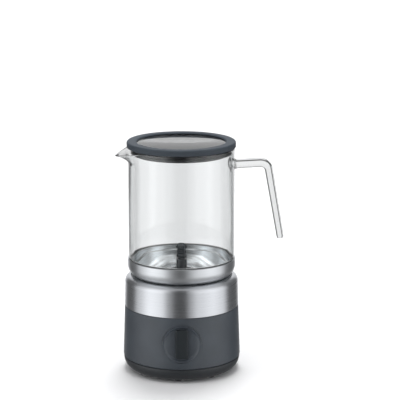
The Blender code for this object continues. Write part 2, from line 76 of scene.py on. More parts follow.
BAND_R, BAND_LOW, BAND_TOP = extent("steel_band")
SHELL_R, SHELL_LOW, SHELL_TOP = extent("base_shell")
COVER_R, COVER_LOW, _ = extent("bottom_cover")
WELL_R, WELL_LOW, WELL_TOP = extent("seat_ring")
PLATE_R, PLATE_LOW, PLATE_TOP = extent("seat_plate")
PAN_R, PAN_LOW, PAN_TOP = extent("steel_pan")
_, GLASS_LOW, GLASS_TOP = extent("jug_glass")
LID_R, LID_LOW, LID_TOP = extent("lid_ring")
COLLAR_R, COLLAR_LOW, COLLAR_TOP = extent("lid_collar")
SEAL_R, SEAL_LOW, SEAL_TOP = extent("lid_seal")
HUB_R = extent("whisk_hub")[0]
_, COIL_LOW, COIL_TOP = extent("whisk_coil")
COIL_Z = (COIL_LOW + COIL_TOP) / 2
SENSOR = middle("sensor_pin")
DIAL_R, DIAL_LOW, DIAL_HIGH = extent("dial")
DIAL_Z = (DIAL_LOW + DIAL_HIGH) / 2
DIAL_FRONT = -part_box("dial")[0].y / MM

# The jug's own proportions, as in the design
GLASS_R, GLASS_T, GLASS_THIN = 55.9, 2.2, 1.0      # the wall is thinner low down than at the rim
JUG_TURN = 14.0              # the handle's direction, in degrees from +X towards +Y
SPOUT_REACH, SPOUT_DROP, SPOUT_START = 70.5, 5.3, 16.0
PAN_FOOT_R, PAN_FOOT_WIDE, PAN_FOOT_H = 40.3, 46.1, 8.0
PAN_STEP_R, PAN_STEP_H, PAN_BULGE_H = 46.9, 10.7, 11.5
PAN_FLOOR, PAN_FLAT_R, PAN_ROUND, PAN_SEAT_R = 13.0, 44.5, 6.5, 52.3       # inside the pan
STEM_W, STEM_T, STEM_TURN = 8.4, 5.8, -30.0


# ---------------------------------------------------------------- mesh tools

def arc(centre, radius, start, end, steps, radius_z=None):
    """Points of an arc in degrees, from start to end, both included."""
    rz = radius if radius_z is None else radius_z
    turns = [radians(start + (end - start) * i / steps) for i in range(steps + 1)]
    return [(centre[0] + radius * cos(t), centre[1] + rz * sin(t)) for t in turns]


def softened(outline, radius=0.4, steps=3, closed=True, skip=0.5):
    """The outline with its sharp corners rounded. Corners flatter than skip radians stay as they are."""
    count, out = len(outline), []
    for i, p in enumerate(outline):
        p = Vector(p)
        a, b = Vector(outline[i - 1]) - p, Vector(outline[(i + 1) % count]) - p
        on_axis = abs(p.x) < 1e-6
        if (not closed and i in (0, count - 1)) or on_axis or a.length < 1e-6 or b.length < 1e-6:
            out.append(tuple(p))
            continue
        if pi - a.angle(b) < skip:
            out.append(tuple(p))
            continue
        reach = min(radius, 0.45 * a.length, 0.45 * b.length)
        start, end = p + a.normalized() * reach, p + b.normalized() * reach
        for k in range(steps + 1):
            s = k / steps
            out.append(tuple(start * (1 - s) ** 2 + p * 2 * s * (1 - s) + end * s * s))
    return out


def block(inner, outer, low, high):
    """Outline of a plain ring, or of a bar where inner is 0."""
    return [(inner, low), (outer, low), (outer, high), (inner, high)]


def bridge(bm, low, high):
    """Faces between two rings of equal count, or between a ring and a single vertex."""
    count = max(len(low), len(high))
    for i in range(count):
        j = (i + 1) % count
        if len(low) == 1 and len(high) > 1:
            bm.faces.new((low[0], high[j], high[i]))
        elif len(high) == 1 and len(low) > 1:
            bm.faces.new((low[i], low[j], high[0]))
        elif len(low) > 1:
            bm.faces.new((low[i], low[j], high[j], high[i]))


def turned_mesh(outline, steps, centre=(0, 0)):
    """A closed outline of (radius, height) points turned about the vertical through centre."""
    bm = bmesh.new()
    rings = []
    for r, z in outline:
        turns = [0] if r < 1e-6 else [2 * pi * i / steps for i in range(steps)]
        rings.append([bm.verts.new((centre[0] + r * cos(t), centre[1] + r * sin(t), z)) for t in turns])
    for low, high in zip(rings, rings[1:] + rings[:1]):
        bridge(bm, low, high)
    return bm


def stacked_mesh(levels):
    """A solid through closed loops of equal count, given as (loop of x y points, height)."""
    bm = bmesh.new()
    rings = [[bm.verts.new((x, y, z)) for x, y in loop] for loop, z in levels]
    for low, high in zip(rings, rings[1:]):
        bridge(bm, low, high)
    bm.faces.new(rings[0])
    bm.faces.new(rings[-1])
    return bm


def rectangle(width, height, rounding, steps=5):
    w, h = width / 2 - rounding, height / 2 - rounding
    corners = [(w, h, 0), (-w, h, 90), (-w, -h, 180), (w, -h, 270)]
    return [p for x, y, a in corners for p in arc((x, y), rounding, a, a + 90, steps)]


def tube_mesh(path, sides=16):
    """A round bar along (point, radius) pairs, closed at both ends."""
    bm = bmesh.new()
    rings, side = [], None
    for i, (point, radius) in enumerate(path):
        before, after = path[max(i - 1, 0)][0], path[min(i + 1, len(path) - 1)][0]
        along = (after - before).normalized()
        if side is None:
            side = along.orthogonal().normalized()
        side = (side - along * side.dot(along)).normalized()
        across = along.cross(side)
        turns = [2 * pi * k / sides for k in range(sides)]
        rings.append([bm.verts.new(point + radius * (cos(t) * side + sin(t) * across)) for t in turns])
    for low, high in zip(rings, rings[1:]):
        bridge(bm, low, high)
    bm.faces.new(rings[0])
    bm.faces.new(rings[-1])
    return bm


def place_front(bm):
    """Turns a mesh made upright about z so that its z points to -Y, on the dial's axis."""
    bmesh.ops.rotate(bm, verts=bm.verts, cent=(0, 0, 0), matrix=Matrix.Rotation(pi / 2, 3, "X"))


def turn_mesh(bm, angle):
    bmesh.ops.rotate(bm, verts=bm.verts, cent=(0, 0, 0), matrix=Matrix.Rotation(radians(angle), 3, "Z"))


def mesh_object(name, bm, at=(0, 0, 0), smooth_angle=35):
    """Turns a bmesh in millimetres into an object at that place, counted from the base's axis."""
    bmesh.ops.recalc_face_normals(bm, faces=bm.faces)
    bmesh.ops.translate(bm, vec=(AXIS_X + at[0], at[1], at[2]), verts=bm.verts)
    bmesh.ops.scale(bm, vec=(MM, MM, MM), verts=bm.verts)
    mesh = bpy.data.meshes.new(name)
    bm.to_mesh(mesh)
    bm.free()
    mesh.shade_smooth()
    mesh.set_sharp_from_angle(angle=radians(smooth_angle))
    obj = bpy.data.objects.new(name, mesh)
    bpy.context.scene.collection.objects.link(obj)
    return obj


def combined(obj, operation, *others, smooth_angle=35):
    """obj's mesh joined or cut with helper objects, which are removed."""
    for other in others:
        modifier = obj.modifiers.new("combine", "BOOLEAN")
        modifier.operation = operation
        modifier.solver = "EXACT"
        modifier.object = other
    result = bpy.data.meshes.new_from_object(obj.evaluated_get(bpy.context.evaluated_depsgraph_get()))
    obj.modifiers.clear()
    obj.data = result
    result.shade_smooth()
    result.set_sharp_from_angle(angle=radians(smooth_angle))
    for other in others:
        bpy.data.objects.remove(other)
    return obj


def piece(obj, node, finish, *also):
    """obj stands for that CAD node (and others), on its body and in its material slot."""
    obj.data.materials.clear()
    obj.data.materials.append(finish)
    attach(obj, BODY_OF[node])
    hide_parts(node, *also)
    return obj


def turned_piece(node, outline, finish, steps=STEPS, centre=(0, 0)):
    obj = mesh_object(node + "_fine", turned_mesh(outline, steps, centre))
    return piece(obj, node, finish)


# ---------------------------------------------------------------- materials

class Tree:
    """Short calls for a node tree."""

    def __init__(self, tree):
        self.tree = tree

    def add(self, kind, **values):
        node = self.tree.nodes.new(kind)
        for key, value in values.items():
            setattr(node, key, value)
        return node

    def link(self, output, socket):
        self.tree.links.new(output, socket)

    def put(self, socket, value):
        """Sets a socket to a number, or links an output to it."""
        if isinstance(value, (int, float)):
            socket.default_value = value
        else:
            self.link(value, socket)

    def object_point(self):
        return self.add("ShaderNodeTexCoord").outputs["Object"]

    def about_axis(self):
        """The x, y and z of the surface point and its distance from the base's axis."""
        parts = self.add("ShaderNodeSeparateXYZ")
        self.link(self.object_point(), parts.inputs[0])
        x, y, z = parts.outputs
        x = self.math("SUBTRACT", x, AXIS_X * MM)
        radius = self.math("SQRT", self.math("ADD", self.math("MULTIPLY", x, x), self.math("MULTIPLY", y, y)))
        return x, y, z, radius

    def noise(self, vector, scale, detail=3.0, rough=0.5):
        node = self.add("ShaderNodeTexNoise")
        node.inputs["Scale"].default_value = scale
        node.inputs["Detail"].default_value = detail
        node.inputs["Roughness"].default_value = rough
        self.link(vector, node.inputs["Vector"])
        return node.outputs["Fac"]

    def spread(self, value, low, high, from_low=0.3, from_high=0.7, kind="LINEAR"):
        """Maps a value onto a range, whose ends are numbers or outputs."""
        node = self.add("ShaderNodeMapRange", interpolation_type=kind)
        sockets = ("Value", "From Min", "From Max", "To Min", "To Max")
        for socket, given in zip(sockets, (value, from_low, from_high, low, high)):
            self.put(node.inputs[socket], given)
        return node.outputs["Result"]

    def math(self, operation, a, b=0.0):
        node = self.add("ShaderNodeMath", operation=operation)
        for socket, value in zip(node.inputs, (a, b)):
            self.put(socket, value)
        return node.outputs[0]

    def blend(self, factor, low, high):
        """Colour between two colours by a factor."""
        node = self.add("ShaderNodeMix", data_type="RGBA")
        node.inputs["A"].default_value = (*low, 1.0)
        node.inputs["B"].default_value = (*high, 1.0)
        self.link(factor, node.inputs["Factor"])
        return node.outputs["Result"]

    def azimuth(self, x, y):
        """Direction in radians from the front (-Y), positive towards +X."""
        return self.math("ARCTAN2", x, self.math("MULTIPLY", y, -1.0))


class Nodes(Tree):
    """The node tree of a new material."""

    def __init__(self, name):
        self.material = bpy.data.materials.new(name)
        self.material.use_nodes = True
        super().__init__(self.material.node_tree)
        self.shader = self.tree.nodes["Principled BSDF"]

    def bump(self, height, strength, distance):
        node = self.add("ShaderNodeBump")
        node.inputs["Strength"].default_value = strength
        node.inputs["Distance"].default_value = distance
        self.link(height, node.inputs["Height"])
        self.link(node.outputs["Normal"], self.shader.inputs["Normal"])

    def set(self, **values):
        for name, value in values.items():
            self.shader.inputs[name.replace("_", " ")].default_value = value


def moulded_plastic(name, colour, roughness, grain=0.00003, lift=1.25, specular=0.5):
    """Satin moulding: fine spark-eroded grain, faint flow variation and slightly uneven gloss."""
    n = Nodes(name)
    point = n.object_point()
    flow = n.noise(point, 35.0, 3.0)
    texture = n.noise(point, 2600.0, 2.0)
    n.link(n.blend(n.spread(flow, 0.0, 1.0), colour, tuple(c * lift for c in colour)),
           n.shader.inputs["Base Color"])
    n.link(n.spread(texture, roughness - 0.05, roughness + 0.05), n.shader.inputs["Roughness"])
    n.bump(texture, 0.5, grain)
    n.set(Specular_IOR_Level=specular)
    return n.material


def brushed_steel(name, colour=(0.60, 0.60, 0.62), roughness=0.30, anisotropy=0.75, line=2200.0):
    """Steel brushed round its vertical axis: the lines vary with height and radius, and blur upright."""
    stretch = 1.2            # how often a line fades along its way round
    n = Nodes(name)
    x, y, z, radius = n.about_axis()
    safe = n.math("ADD", radius, 0.0001)
    around = n.add("ShaderNodeCombineXYZ")
    n.link(n.math("MULTIPLY", n.math("DIVIDE", x, safe), stretch), around.inputs[0])
    n.link(n.math("MULTIPLY", n.math("DIVIDE", y, safe), stretch), around.inputs[1])
    n.link(n.math("MULTIPLY", n.math("ADD", z, radius), line), around.inputs[2])
    lines = n.noise(around.outputs[0], 1.0, 4.0, 0.6)
    wide = n.noise(n.object_point(), 18.0, 2.0)
    dark = tuple(c * 0.92 for c in colour)
    light = tuple(min(1.0, c * 1.06) for c in colour)
    n.link(n.blend(n.spread(lines, 0.0, 1.0), dark, light), n.shader.inputs["Base Color"])
    uneven = n.math("ADD", n.spread(lines, -0.04, 0.04), n.spread(wide, roughness - 0.02, roughness + 0.02))
    n.link(uneven, n.shader.inputs["Roughness"])
    n.bump(lines, 0.06, 0.00001)
    tangent = n.add("ShaderNodeTangent", direction_type="RADIAL", axis="Z")
    n.link(tangent.outputs[0], n.shader.inputs["Tangent"])
    n.set(Metallic=1.0, Anisotropic=anisotropy, Anisotropic_Rotation=0.25)
    return n.material


def bright_metal(name, colour, roughness, scale=900.0):
    """Polished or plated metal with faint handling marks."""
    n = Nodes(name)
    point = n.object_point()
    marks = n.noise(point, scale, 4.0, 0.65)
    haze = n.noise(point, 60.0, 2.0)
    n.link(n.blend(n.spread(haze, 0.0, 1.0), tuple(c * 0.9 for c in colour), colour),
           n.shader.inputs["Base Color"])
    n.link(n.spread(marks, roughness * 0.7, roughness * 1.4), n.shader.inputs["Roughness"])
    n.bump(marks, 0.2, 0.00001)
    n.set(Metallic=1.0)
    return n.material


def clear_glass(name, ior=1.47, edge=(0.30, 0.33, 0.35)):
    """Clear glass: greyer where it is seen edge on, which is painted shade for dark surroundings seen at its
    edges, with the faintest waviness of drawn tube.
    """
    n = Nodes(name)
    point = n.object_point()
    facing = n.add("ShaderNodeLayerWeight")
    facing.inputs["Blend"].default_value = 0.5
    # painted shade: the colour turns grey towards the edges seen edge on
    n.link(n.blend(n.spread(facing.outputs["Facing"], 0.0, 1.0, 0.62, 1.0), (0.965, 0.975, 0.98), edge),
           n.shader.inputs["Base Color"])
    wave = n.noise(point, 30.0, 1.0)
    film = n.noise(point, 420.0, 3.0)
    n.link(n.spread(film, 0.0, 0.012), n.shader.inputs["Roughness"])
    n.bump(wave, 0.08, 0.0002)
    n.set(IOR=ior, Transmission_Weight=1.0)
    return n.material


def soft_rubber(name, colour, roughness, translucent=0.0):
    """Rubber or silicone: dusty, matte, and a little see-through if asked."""
    n = Nodes(name)
    point = n.object_point()
    dust = n.noise(point, 700.0, 4.0)
    cloud = n.noise(point, 50.0, 2.0)
    n.link(n.blend(n.spread(cloud, 0.0, 1.0), tuple(c * 0.92 for c in colour), colour),
           n.shader.inputs["Base Color"])
    n.link(n.spread(dust, roughness - 0.08, roughness + 0.05), n.shader.inputs["Roughness"])
    n.bump(dust, 0.3, 0.00003)
    n.set(Transmission_Weight=translucent)
    return n.material


def wound_copper(name):
    """Lacquered winding: close turns that vary with radius."""
    wire = 0.0011            # metres from one turn to the next
    n = Nodes(name)
    radius = n.about_axis()[3]
    turns = n.math("SINE", n.math("MULTIPLY", radius, 2 * pi / wire))
    n.link(n.blend(n.spread(turns, 0.0, 1.0, -1.0, 1.0), (0.34, 0.12, 0.05), (0.80, 0.36, 0.18)),
           n.shader.inputs["Base Color"])
    n.link(n.spread(turns, 0.5, 0.25, -1.0, 1.0), n.shader.inputs["Roughness"])
    n.bump(turns, 0.6, 0.0002)
    n.set(Metallic=1.0)
    return n.material


def circuit_board(name):
    """Green solder mask with darker tracks and tin pads."""
    n = Nodes(name)
    point = n.object_point()
    tracks = n.add("ShaderNodeTexVoronoi", feature="DISTANCE_TO_EDGE")
    tracks.inputs["Scale"].default_value = 260.0
    n.link(point, tracks.inputs["Vector"])
    weave = n.noise(point, 1500.0, 2.0)
    line = n.spread(tracks.outputs["Distance"], 0.0, 1.0, 0.05, 0.09)
    n.link(n.blend(line, (0.010, 0.10, 0.045), (0.018, 0.17, 0.08)), n.shader.inputs["Base Color"])
    n.link(n.spread(weave, 0.30, 0.45), n.shader.inputs["Roughness"])
    n.bump(line, 0.3, 0.00005)
    return n.material


HOUSING_GREY = (0.036, 0.044, 0.054)
FINISH = {
    "housing_plastic": moulded_plastic("housing_plastic", HOUSING_GREY, 0.40),
    "cover_plastic": moulded_plastic("cover_plastic", (0.016, 0.019, 0.022), 0.45),
    "grip_plastic": moulded_plastic("grip_plastic", (0.014, 0.018, 0.021), 0.40, specular=0.35),
    "inner_plastic": moulded_plastic("inner_plastic", (0.52, 0.52, 0.50), 0.45, lift=1.1),
    "brushed_steel": brushed_steel("brushed_steel", (0.585, 0.60, 0.625)),
    "polished_steel": bright_metal("polished_steel", (0.74, 0.74, 0.75), 0.13),
    "clear_glass": clear_glass("clear_glass"),
    "seal_silicone": soft_rubber("seal_silicone", (0.16, 0.17, 0.175), 0.42, 0.35),
    "foot_rubber": soft_rubber("foot_rubber", (0.018, 0.018, 0.020), 0.75),
    "coil_copper": wound_copper("coil_copper"),
    "magnet": bright_metal("magnet", (0.50, 0.50, 0.52), 0.28, 1500.0),
    "circuit_board": circuit_board("circuit_board"),
    "plated_steel": bright_metal("plated_steel", (0.52, 0.52, 0.54), 0.34, 1200.0),
}
LID_PLASTIC = moulded_plastic("lid_plastic", HOUSING_GREY, 0.55, specular=0.2)
# painted light: colour raised well above the housing grey so that the dimly lit wall of the well comes out
# lighter
WELL_PLASTIC_PAINTED_LIGHT = moulded_plastic("well_plastic_painted_light", (0.12, 0.13, 0.14), 0.36)
PLATE_STEEL = brushed_steel("plate_steel", (0.50, 0.52, 0.54), 0.34, 0.6, 3000.0)
PAN_STEEL = brushed_steel("pan_steel", (0.66, 0.68, 0.70), 0.36, 0.7)
# painted light: a lighter, glossier copy of the pan steel that makes the pan's inside look more brightly lit
PAN_INSIDE_PAINTED_LIGHT = brushed_steel("pan_inside_painted_light", (0.90, 0.93, 0.95), 0.24, 0.7)
STEM_PLASTIC = moulded_plastic("stem_plastic", (0.045, 0.053, 0.060), 0.22)
HUB_PLASTIC = moulded_plastic("hub_plastic", (0.030, 0.036, 0.042), 0.26, specular=0.6)
COIL_STEEL = bright_metal("coil_steel", (0.97, 0.97, 0.98), 0.28)
WINDOW_GLASS = clear_glass("window_glass", edge=(0.90, 0.94, 0.96))
MARK_INK = moulded_plastic("mark_ink", (0.010, 0.011, 0.012), 0.5)
CAP_METAL = bright_metal("cap_metal", (0.55, 0.56, 0.58), 0.33, 1400.0)


def finish_cad_nodes():
    """Every CAD node takes its slot's procedural finish, also those that a fine piece then replaces."""
    for node, obj in frame["nodes"].items():
        obj.data.materials.clear()
        obj.data.materials.append(FINISH[SLOT_OF[node]])


# ---------------------------------------------------------------- base

def make_bottom_cover():
    flat_r, round_h, floor_t, wall = 52.0, 12.5, 2.4, 1.6
    lip_r, lip_top = SHELL_R - 3.1, extent("bottom_cover")[2]
    edge = SHELL_LOW - 0.3
    outline = [(0, COVER_LOW + floor_t), (0, COVER_LOW), (flat_r - 6, COVER_LOW)]
    outline += arc((flat_r, COVER_LOW + round_h), COVER_R - flat_r, -90, 0, 14, round_h)
    outline += [(COVER_R, edge - 0.5), (COVER_R - 0.4, edge), (lip_r, edge), (lip_r, lip_top)]
    outline += [(lip_r - wall, lip_top), (lip_r - wall, COVER_LOW + round_h + 1)]
    outline += [(flat_r - 3, COVER_LOW + floor_t)]
    cover = mesh_object("bottom_cover_fine", turned_mesh(outline, STEPS))
    screws = [middle(f"cover_screw_{i}") for i in (1, 2, 3)]
    wells = [mesh_object("well", turned_mesh(block(0, 3.5, -2, 1.4), FEW), (screw.x, screw.y, COVER_LOW))
             for screw in screws]
    piece(combined(cover, "DIFFERENCE", *wells), "bottom_cover", FINISH["cover_plastic"])


def make_feet():
    for i in range(1, 9):
        node = f"foot_{i}"
        radius, low, high = extent(node)
        at = middle(node)
        outline = [(0, low), (radius - 0.5, low), (radius, high - 0.3), (radius - 0.2, high), (0, high)]
        turned_piece(node, softened(outline, 0.5), FINISH["foot_rubber"], FEW, (at.x, at.y))


def make_base_shell():
    wall, spigot_r, waist, dial_gap = 2.4, BAND_R - 1.7, BAND_LOW - 0.3, 0.18
    outline = [(SHELL_R - 2.6, SHELL_LOW), (SHELL_R - 0.8, SHELL_LOW)]
    outline += arc((SHELL_R - 1.6, SHELL_LOW + 1.6), 1.6, -70, 0, 5)
    outline += [(BAND_R - 0.1, waist - 0.3), (BAND_R - 0.4, waist), (spigot_r, waist), (spigot_r, SHELL_TOP)]
    outline += [(spigot_r - 1.8, SHELL_TOP), (BAND_R - wall, waist - 4), (SHELL_R - wall, SHELL_LOW + 3)]
    shell = mesh_object("base_shell_fine", turned_mesh(outline, STEPS * 2))
    window = turned_mesh(block(0, DIAL_R + dial_gap, 50, 70), 128)
    place_front(window)
    gland = turned_mesh(block(0, 6.0, -70, -50), FEW)
    place_front(gland)
    shell = combined(shell, "DIFFERENCE", mesh_object("window", window, (0, 0, DIAL_Z)),
                     mesh_object("gland", gland, (0, 0, middle("cord_gland").z)), smooth_angle=28)
    piece(shell, "base_shell", FINISH["housing_plastic"])


def make_steel_band():
    bulge, sheet = 7.0, 0.8
    shoulder_r = BAND_R - 0.7
    centre = (shoulder_r - bulge, BAND_TOP + 0.07 - bulge)
    outline = [(BAND_R, BAND_LOW + 0.3)] + arc(centre, bulge, 0, 82, 24)
    outline += arc(centre, bulge - sheet, 82, 0, 16) + [(BAND_R - sheet, BAND_LOW), (BAND_R - 0.2, BAND_LOW)]
    turned_piece("steel_band", outline, FINISH["brushed_steel"], STEPS * 2)


def make_well():
    lip, foot, hole = 47.9, 44.6, 13.3
    outline = [(WELL_R, WELL_TOP - 2.6), (WELL_R, WELL_TOP - 0.6)]
    outline += arc((WELL_R - 0.7, WELL_TOP - 0.7), 0.7, 0, 90, 5)
    outline += arc((lip + 2.2, WELL_TOP - 2.2), 2.2, 90, 172, 8)
    outline += [(foot, PLATE_TOP + 0.3), (foot, WELL_LOW + 1.4), (foot - 2.1, WELL_LOW + 1.4)]
    outline += [(foot - 2.1, WELL_LOW), (foot + 2, WELL_LOW), (50.2, WELL_TOP - 2.6)]
    # the seat ring takes the lightened copy of the plastic: painted light
    turned_piece("seat_ring", outline, WELL_PLASTIC_PAINTED_LIGHT)
    profile = softened(block(hole, PLATE_R, PLATE_LOW, PLATE_TOP), 0.25)
    plate = mesh_object("seat_plate_fine", turned_mesh(profile, STEPS))
    window = mesh_object("window", turned_mesh(block(0, 5.5, 80, 96), FEW, (SENSOR.x, SENSOR.y)))
    piece(combined(plate, "DIFFERENCE", window), "seat_plate", PLATE_STEEL)


def make_drive_cover():
    """Eight-sided cap with chamfered edge over the drive magnets."""
    flats, rounding, (_, low, top) = 31.0, 1.4, extent("drive_cover")
    base = PLATE_TOP + 0.3
    def eight(narrower):
        radius = (flats - narrower) / 2 / cos(pi / 8)
        turns = [pi / 4 * (i + 0.5) for i in range(8)]
        return softened([(radius * cos(t), radius * sin(t)) for t in turns], rounding, 4)
    levels = ((0.3, base), (0, base + 0.3), (0, top - 1.5), (0.5, top - 1.2), (2.6, top - 0.1), (3.1, top))
    cap = mesh_object("drive_cover_fine", stacked_mesh([(eight(narrower), z) for narrower, z in levels]))
    skirt = mesh_object("skirt", turned_mesh(block(0, 12.9, low, base + 1), 64))
    hollow = mesh_object("hollow", turned_mesh(block(0, 11.7, low - 2, top - 1.3), 64))
    cap = combined(combined(cap, "UNION", skirt), "DIFFERENCE", hollow, smooth_angle=20)
    piece(cap, "drive_cover", CAP_METAL)


def make_sensor():
    at = (SENSOR.x, SENSOR.y)
    _, low, top = extent("sensor_holder")
    cup_r, inner_r, floor = 5.2, 4.2, low + 1.2
    outline = [(0, low), (cup_r, low), (cup_r, top), (inner_r, top), (inner_r, floor), (0, floor)]
    turned_piece("sensor_holder", softened(outline, 0.35), FINISH["grip_plastic"], FEW, at)
    radius, low, top = extent("sensor_pin")
    dome = arc((0, top - 1.5), radius, 0, 90, 10, 1.5)
    bore, deep = radius - 0.5, low + 2.2         # the spring reaches into the pressed pin
    pin = [(0, deep), (bore, deep), (bore, low), (radius, low)]
    turned_piece("sensor_pin", pin + dome, FINISH["polished_steel"], FEW, at)
    _, low, top = extent("sensor_spring")
    turns, per_turn, wire, spring_r = 4, 24, 0.35, bore - 0.6
    path = []
    for i in range(per_turn * turns + 1):
        turn = i / per_turn
        x, y = at[0] + spring_r * cos(2 * pi * turn), at[1] + spring_r * sin(2 * pi * turn)
        path.append((Vector((x, y, low + wire + (top - low - 2 * wire) * turn / turns)), wire))
    piece(mesh_object("sensor_spring_fine", tube_mesh(path, 8)), "sensor_spring", FINISH["polished_steel"])


def dial_depth(x, from_centre=0.0):
    """Distance of the dial's face in front of the base's axis: two scoops, fading out towards the rim."""
    scoop_x, centre, radius, shallow = 8.4, 85.4, 26.0, 10.7       # the scoop is an arc, then level
    fade_from, fade = 0.84, 0.14                                   # shares of the dial's radius
    beside = min(max(0.0, abs(x) - scoop_x), shallow)
    scooped = min(centre - sqrt(radius * radius - beside ** 2), DIAL_FRONT)
    share = min(1.0, max(0.0, (from_centre / DIAL_R - fade_from) / fade))
    return scooped + (DIAL_FRONT - scooped) * share * share * (3 - 2 * share)


def make_dial():
    """Turned dial with finger scoops, and the dark grip bar standing in it."""
    rings, around, chamfer, back = 40, 144, 0.35, 50.0
    bm = bmesh.new()
    loops = [[bm.verts.new((0, 0, back))]]
    turns = [2 * pi * i / around for i in range(around)]
    loops.append([bm.verts.new((DIAL_R * cos(t), DIAL_R * sin(t), back)) for t in turns])
    for k in range(rings, -1, -1):
        r, drop = (DIAL_R, chamfer) if k == rings else ((DIAL_R - chamfer) * k / rings, 0.0)
        loops.append([bm.verts.new((r * cos(t), r * sin(t), dial_depth(r * cos(t), r) - drop))
                      for t in (turns if k else turns[:1])])
    for low, high in zip(loops, loops[1:]):
        bridge(bm, low, high)
    place_front(bm)
    piece(mesh_object("dial_fine", bm, (0, 0, DIAL_Z), 40), "dial", FINISH["housing_plastic"])
    low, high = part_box("dial_grip")
    width, height = (high.x - low.x) / MM, (high.z - low.z) / MM
    foot, front, edge_r = dial_depth(0) - 0.4, -low.y / MM, 0.9
    bar = [(rectangle(width, height, 2.6), foot), (rectangle(width, height, 2.6), front - edge_r)]
    for a in (pi / 8, pi / 4, 3 * pi / 8, pi / 2):
        narrower = 2 * (edge_r - edge_r * cos(a))
        bar.append((rectangle(width - narrower, height - narrower, 2.4), front - edge_r + edge_r * sin(a)))
    bm = stacked_mesh(bar)
    place_front(bm)
    piece(mesh_object("dial_grip_fine", bm, (0, 0, DIAL_Z)), "dial_grip", FINISH["grip_plastic"])


def make_gland():
    at = middle("cord_gland")
    outline = [(3.2, -61.6), (5.2, -61.6), (5.6, -61.0), (5.6, -50.5), (3.2, -50.5)]
    bm = turned_mesh(softened(outline, 0.5), FEW)
    place_front(bm)
    piece(mesh_object("cord_gland_fine", bm, (0, 0, at.z)), "cord_gland", FINISH["foot_rubber"])


# ---------------------------------------------------------------- jug

def make_pan():
    """Stepped steel pan with the seat for the glass, the pivot pin and the glass seal; the fill marks inside
    are made apart.
    """
    z, floor, sheet = PAN_LOW, PAN_LOW + PAN_FLOOR, 2.8
    centre = PAN_FOOT_R - 0.5
    outline = [(PAN_FOOT_R - 2.2, z + 0.2), (PAN_FOOT_R - 2.0, z), (PAN_FOOT_R, z)]
    outline += arc((centre, z + PAN_FOOT_H), PAN_FOOT_WIDE - centre, -76, 0, 12, PAN_FOOT_H)
    outline += [(PAN_STEP_R - 0.15, z + PAN_STEP_H - 0.8), (PAN_STEP_R, z + PAN_STEP_H - 0.3)]
    centre = PAN_STEP_R + 0.2
    outline += arc((centre, z + PAN_STEP_H + PAN_BULGE_H), PAN_R - centre, -90, 0, 18, PAN_BULGE_H)
    outline += [(PAN_R, PAN_TOP - 0.4), (PAN_R - 0.4, PAN_TOP), (PAN_SEAT_R + 0.3, PAN_TOP)]
    outline += [(PAN_SEAT_R, PAN_TOP - 0.3), (PAN_SEAT_R, PAN_TOP - 4.6), (51.9, PAN_TOP - 5.1)]
    outline += [(51.4, PAN_TOP - 5.3), (51.0, PAN_TOP - 5.8)]
    outline += arc((PAN_FLAT_R, floor + PAN_ROUND), PAN_ROUND, 0, -90, 12)
    outline += [(30, floor), (0, floor), (0, floor - sheet), (44.0, floor - sheet)]
    pan = turned_piece("steel_pan", outline, PAN_STEEL, STEPS * 2)
    # the inside faces take the lighter copy of the steel: painted light
    pan.data.materials.append(PAN_INSIDE_PAINTED_LIGHT)
    for face in pan.data.polygons:
        at = face.center / MM
        if hypot(at.x - AXIS_X, at.y) < PAN_SEAT_R + 0.05 and at.z > floor - 0.1:
            face.material_index = 1
    _, low, top = extent("pivot_pin")
    pin = [(0, low), (4.6, low), (4.6, low + 0.7), (4.3, low + 0.9), (3.0, low + 0.9), (2.8, low + 1.2)]
    turned_piece("pivot_pin", pin + arc((0, top - 1.6), 2.8, 0, 90, 8, 1.6), FINISH["polished_steel"], FEW)
    _, low, top = extent("glass_seal")
    turned_piece("glass_seal", softened(block(52.6, 55.6, low, top), 0.2), FINISH["seal_silicone"])


def pan_wall(height):
    """Radius of the pan's inner wall at a height above its lowest edge."""
    if height > PAN_TOP - PAN_LOW - 5.3:
        return PAN_SEAT_R
    return PAN_FLAT_R + sqrt(max(0.0, PAN_ROUND ** 2 - max(0.0, PAN_FLOOR + PAN_ROUND - height) ** 2))


def mark_patch(bm, low, high, start, end, steps=8):
    """A thin dark patch lying on the pan's inner wall between two heights and two angles."""
    turns = [start + (end - start) * k / steps for k in range(steps + 1)]
    def row(height, lift):
        r = pan_wall(height) - lift
        return [bm.verts.new((r * cos(t), r * sin(t), PAN_LOW + height)) for t in turns]
    rings = [row(low, 0.02), row(low, 0.10), row(high, 0.10), row(high, 0.02)]
    for a, b in zip(rings, rings[1:] + rings[:1]):
        for k in range(steps):
            bm.faces.new((a[k], a[k + 1], b[k + 1], b[k]))
    for k in (0, steps):
        bm.faces.new([ring[k] for ring in rings])


def make_fill_marks():
    """Two plain level marks on the pan's inner wall, at the back: a line under a row of ticks."""
    bm = bmesh.new()
    back, half, ticks, half_tick = pi / 2, radians(6.5), 5, 0.013
    for line in (25.1, 14.4):
        mark_patch(bm, line, line + 0.8, back - half, back + half)
        for i in range(ticks):
            turn = back + half * (2 * i / (ticks - 1) - 1) * 0.85
            mark_patch(bm, line + 1.2, line + 3.1, turn - half_tick, turn + half_tick, 2)
    marks = mesh_object("fill_marks", bm)
    marks.data.materials.append(MARK_INK)
    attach(marks, "jug")


def spout_shape(turn):
    """Outward reach of the rim and its share of the spout's drop, at an angle from the spout."""
    soft = radians(5.0)
    half = acos(GLASS_R / SPOUT_REACH) + soft
    off = sqrt(turn * turn + soft * soft)
    if off >= half:
        return 0.0, 0.0
    return GLASS_R / cos(half - off) - GLASS_R, (1 - (off - soft) / (half - soft)) ** 1.5


